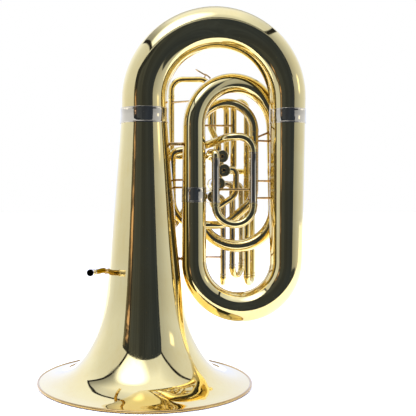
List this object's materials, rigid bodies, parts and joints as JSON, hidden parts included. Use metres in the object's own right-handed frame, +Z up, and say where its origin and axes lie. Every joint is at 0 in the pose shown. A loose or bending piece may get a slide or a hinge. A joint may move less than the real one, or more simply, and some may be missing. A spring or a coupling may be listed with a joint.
{
  "type": "piston-valve tuba",
  "caption": "Brass tuba standing on its bell: wide conical bows round a front-action piston valve section, with pull-out tuning slides and a curved leadpipe.",
  "frame": {"origin": "under the middle of the bounding box, on the plane the bell's rim stands on", "axes": "+Z up along the bell's axis, +X from the bell towards the outer branch, +Y away from the player towards the finger buttons"},
  "size_m": [0.6294, 0.5, 0.8788],
  "materials": {
    "lacquered_brass": "polished, clear lacquer",
    "nickel_silver": "polished nickel silver",
    "valve_steel": "ground and polished",
    "pearl_button": "pearl inlay"
  },
  "bodies": {
    "horn": {"bell": "lacquered_brass", "bottom_bow": "lacquered_brass", "outer_branch": "lacquered_brass", "top_bow": "lacquered_brass", "second_branch_lower": "lacquered_brass", "second_branch_upper": "lacquered_brass", "second_bow": "lacquered_brass", "third_branch": "lacquered_brass", "third_bow": "lacquered_brass", "fourth_branch": "lacquered_brass", "fourth_bow": "lacquered_brass", "return_tube": "lacquered_brass", "crossing_tube": "lacquered_brass", "valve_outlet_tube": "lacquered_brass", "crossover_tube": "lacquered_brass", "leadpipe": "lacquered_brass", "leadpipe_brace": "lacquered_brass", "first_slide_sleeves": "lacquered_brass", "second_slide_sleeves": "lacquered_brass", "third_valve_tubing": "lacquered_brass", "fourth_sleeve_left": "lacquered_brass", "fourth_sleeve_right": "lacquered_brass", "fourth_valve_loop": "lacquered_brass", "valve_casing_1": "lacquered_brass", "top_cap_1": "lacquered_brass", "bottom_cap_1": "lacquered_brass", "valve_casing_2": "lacquered_brass", "top_cap_2": "lacquered_brass", "bottom_cap_2": "lacquered_brass", "valve_casing_3": "lacquered_brass", "top_cap_3": "lacquered_brass", "bottom_cap_3": "lacquered_brass", "valve_casing_4": "lacquered_brass", "top_cap_4": "lacquered_brass", "bottom_cap_4": "lacquered_brass", "bell_ferrule": "nickel_silver", "bow_ferrule": "nickel_silver", "second_ferrule": "nickel_silver", "main_sleeves": "nickel_silver", "mouthpiece_receiver": "nickel_silver", "valve_spring_1": "valve_steel", "valve_spring_2": "valve_steel", "valve_spring_3": "valve_steel", "valve_spring_4": "valve_steel"},
    "main_slide": {"main_tuning_slide": "lacquered_brass"},
    "first_slide": {"first_valve_slide": "lacquered_brass"},
    "second_slide": {"second_valve_slide": "lacquered_brass"},
    "third_slide": {"third_valve_slide": "lacquered_brass"},
    "fourth_slide": {"fourth_valve_slide": "lacquered_brass", "water_key_saddle": "lacquered_brass"},
    "water_key_lever": {"water_key": "lacquered_brass"},
    "valve_1": {"piston_1": "valve_steel", "finger_button_1": "pearl_button"},
    "valve_2": {"piston_2": "valve_steel", "finger_button_2": "pearl_button"},
    "valve_3": {"piston_3": "valve_steel", "finger_button_3": "pearl_button"},
    "valve_4": {"piston_4": "valve_steel", "finger_button_4": "pearl_button"}
  },
  "joints": [
    {"name": "valve_1_stroke", "type": "slide", "parent": "horn", "child": "valve_1", "axis": [0, -1, 0], "range_m": [0, 0.017], "stiffness_N_per_m": 300, "springref_m": -0.01, "deforming": ["valve_spring_1"]},
    {"name": "valve_2_stroke", "type": "slide", "parent": "horn", "child": "valve_2", "axis": [0, -1, 0], "range_m": [0, 0.017], "stiffness_N_per_m": 300, "springref_m": -0.01, "deforming": ["valve_spring_2"]},
    {"name": "valve_3_stroke", "type": "slide", "parent": "horn", "child": "valve_3", "axis": [0, -1, 0], "range_m": [0, 0.017], "stiffness_N_per_m": 300, "springref_m": -0.01, "deforming": ["valve_spring_3"]},
    {"name": "valve_4_stroke", "type": "slide", "parent": "horn", "child": "valve_4", "axis": [0, -1, 0], "range_m": [0, 0.017], "stiffness_N_per_m": 300, "springref_m": -0.01, "deforming": ["valve_spring_4"]},
    {"name": "main_slide_pull", "type": "slide", "parent": "horn", "child": "main_slide", "axis": [0, 0, -1], "range_m": [0, 0.06]},
    {"name": "first_slide_pull", "type": "slide", "parent": "horn", "child": "first_slide", "axis": [0, 0, -1], "range_m": [0, 0.045]},
    {"name": "second_slide_pull", "type": "slide", "parent": "horn", "child": "second_slide", "axis": [0, 0, -1], "range_m": [0, 0.045]},
    {"name": "third_slide_pull", "type": "slide", "parent": "horn", "child": "third_slide", "axis": [0, 0, -1], "range_m": [0, 0.045]},
    {"name": "fourth_slide_pull", "type": "slide", "parent": "horn", "child": "fourth_slide", "axis": [0, 0, 1], "range_m": [0, 0.045]},
    {"name": "water_key_hinge", "type": "hinge", "parent": "fourth_slide", "child": "water_key_lever", "pos_m": [0.08675, 0.092, 0.7318], "axis": [0, -1, 0], "range_deg": [0, 12], "stiffness_Nm_per_rad": 0.05, "springref_deg": -17.19}
  ]
}
